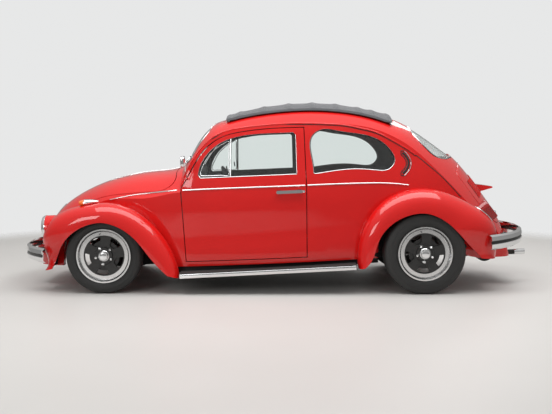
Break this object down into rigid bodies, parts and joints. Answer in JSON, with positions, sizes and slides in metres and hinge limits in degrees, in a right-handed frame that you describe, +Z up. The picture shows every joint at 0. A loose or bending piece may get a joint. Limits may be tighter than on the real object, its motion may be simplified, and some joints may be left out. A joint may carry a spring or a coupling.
{
  "type": "rear-engine compact car",
  "caption": "Two-door rear-engine compact saloon with separate fenders, running boards, folding fabric roof, opening doors, hood and engine lid, steering and rolling wheels.",
  "frame": {"origin": "centre of the footprint on the ground", "axes": "+X to the car's left, +Y to the rear, +Z up"},
  "size_m": [1.612, 4.0292, 1.4511],
  "materials": {
    "red_paint": "gloss",
    "chrome": "polished",
    "black_metal": "satin",
    "wheel_alloy": "polished",
    "tyre": "matte",
    "window_glass": "polished",
    "lamp_glass": "polished",
    "amber_lens": "gloss",
    "red_lens": "gloss",
    "roof_fabric": "matte",
    "black_plastic": "matte",
    "board_rubber": "matte",
    "seat_vinyl": "satin",
    "castings": "rough",
    "cast_iron": "rough"
  },
  "bodies": {
    "body": {"body_shell": "red_paint", "dashboard": "black_plastic", "engine": "castings", "exhaust": "black_metal", "floor_pan": "black_metal", "front_axle": "black_metal", "front_bumper": "chrome", "front_fenders": "red_paint", "front_seats": "seat_vinyl", "headlamp_lenses": "lamp_glass", "headlamp_rims": "chrome", "hinge_pins": "black_metal", "quarter_windows": "window_glass", "rear_bumper": "chrome", "rear_fenders": "red_paint", "rear_seat": "seat_vinyl", "rear_window": "window_glass", "roof_cover": "roof_fabric", "running_boards": "board_rubber", "steering_column": "black_metal", "tail_lamps": "red_lens", "transaxle": "castings", "turn_lamps": "amber_lens", "windscreen": "window_glass"},
    "door_left": {"door_left": "red_paint", "door_glass_left": "window_glass", "door_trim_left": "chrome"},
    "door_right": {"door_right": "red_paint", "door_glass_right": "window_glass", "door_trim_right": "chrome"},
    "hood": {"hood": "red_paint"},
    "engine_lid": {"engine_lid": "red_paint", "plate_lamp": "red_paint"},
    "steering_wheel": {"steering_wheel": "black_plastic"},
    "knuckle_left": {"knuckle_left": "cast_iron"},
    "knuckle_right": {"knuckle_right": "cast_iron"},
    "wheel_front_left": {"tyre_front_left": "tyre", "rim_front_left": "wheel_alloy"},
    "wheel_front_right": {"tyre_front_right": "tyre", "rim_front_right": "wheel_alloy"},
    "wheel_rear_left": {"tyre_rear_left": "tyre", "rim_rear_left": "wheel_alloy"},
    "wheel_rear_right": {"tyre_rear_right": "tyre", "rim_rear_right": "wheel_alloy"}
  },
  "joints": [
    {"name": "door_left_hinge", "type": "hinge", "parent": "body", "child": "door_left", "pos_m": [0.616, -0.69539, 0.5311], "axis": [0, 0.0446, -0.999], "range_deg": [0, 62]},
    {"name": "door_right_hinge", "type": "hinge", "parent": "body", "child": "door_right", "pos_m": [-0.616, -0.69539, 0.5311], "axis": [0, -0.0446, 0.999], "range_deg": [0, 62]},
    {"name": "hood_hinge", "type": "hinge", "parent": "body", "child": "hood", "pos_m": [0, -0.76087, 0.92207], "axis": [-1, 0, 0], "range_deg": [0, 50]},
    {"name": "engine_lid_hinge", "type": "hinge", "parent": "body", "child": "engine_lid", "pos_m": [0, 1.49304, 0.96303], "axis": [1, 0, 0], "range_deg": [0, 60]},
    {"name": "steer_left", "type": "hinge", "parent": "body", "child": "knuckle_left", "pos_m": [0.595, -1.27595, 0.28399], "axis": [0, -0.0446, 0.999], "range_deg": [-30, 30]},
    {"name": "steer_right", "type": "hinge", "parent": "body", "child": "knuckle_right", "pos_m": [-0.595, -1.27595, 0.28399], "axis": [0, -0.0446, 0.999], "range_deg": [-30, 30]},
    {"name": "steering_wheel_turn", "type": "hinge", "parent": "body", "child": "steering_wheel", "pos_m": [0.33, -0.31724, 0.7832], "axis": [0, 0.8612, 0.5083], "range_deg": [-490, 490]},
    {"name": "spin_front_left", "type": "hinge", "parent": "knuckle_left", "child": "wheel_front_left", "pos_m": [0.645, -1.27595, 0.28399], "axis": [1, 0, 0], "continuous": true},
    {"name": "spin_rear_left", "type": "hinge", "parent": "body", "child": "wheel_rear_left", "pos_m": [0.665, 1.12549, 0.305], "axis": [1, 0, 0], "continuous": true},
    {"name": "spin_front_right", "type": "hinge", "parent": "knuckle_right", "child": "wheel_front_right", "pos_m": [-0.645, -1.27595, 0.28399], "axis": [1, 0, 0], "continuous": true},
    {"name": "spin_rear_right", "type": "hinge", "parent": "body", "child": "wheel_rear_right", "pos_m": [-0.665, 1.12549, 0.305], "axis": [1, 0, 0], "continuous": true}
  ],
  "couplings": [
    {"joint": "steer_right", "follows": "steer_left", "ratio": 1},
    {"joint": "steering_wheel_turn", "follows": "steer_left", "ratio": 16}
  ]
}
